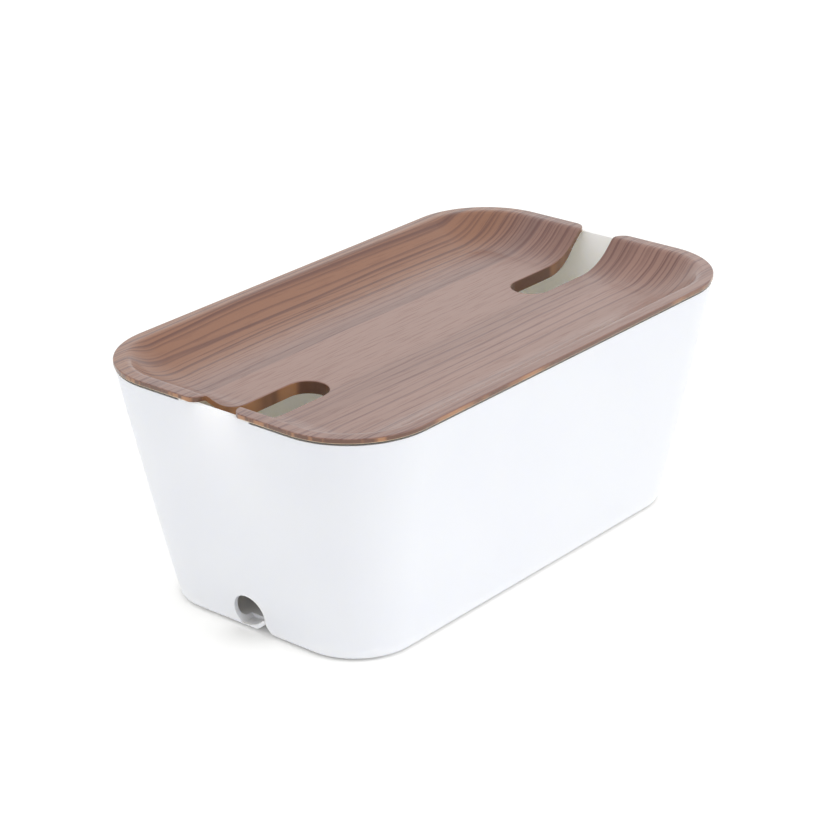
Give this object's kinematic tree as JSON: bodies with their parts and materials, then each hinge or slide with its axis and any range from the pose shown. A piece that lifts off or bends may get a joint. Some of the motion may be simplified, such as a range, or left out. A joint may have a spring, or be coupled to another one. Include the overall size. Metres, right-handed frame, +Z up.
{
  "type": "cable management box",
  "caption": "Tapered open tub with a cable opening low in each end and a loose tray-shaped lid with a cable slot at each end.",
  "frame": {"origin": "on the table, under the centre of the box", "axes": "+X along the length, +Y across the width, +Z up"},
  "size_m": [0.305, 0.183, 0.127],
  "materials": {
    "white_plastic": "satin moulded plastic",
    "walnut_lid": "walnut-print moulded lid with plain brown edges",
    "foot_rubber": "soft translucent grey rubber"
  },
  "bodies": {
    "tub": {"box_shell": "white_plastic", "foot_1": "foot_rubber", "foot_2": "foot_rubber", "foot_3": "foot_rubber", "foot_4": "foot_rubber"},
    "lid": {"lid_tray": "walnut_lid"}
  },
  "joints": [
    {"name": "lid_lift", "type": "slide", "parent": "tub", "child": "lid", "axis": [0, 0, 1], "range_m": [0, 0.06]}
  ]
}
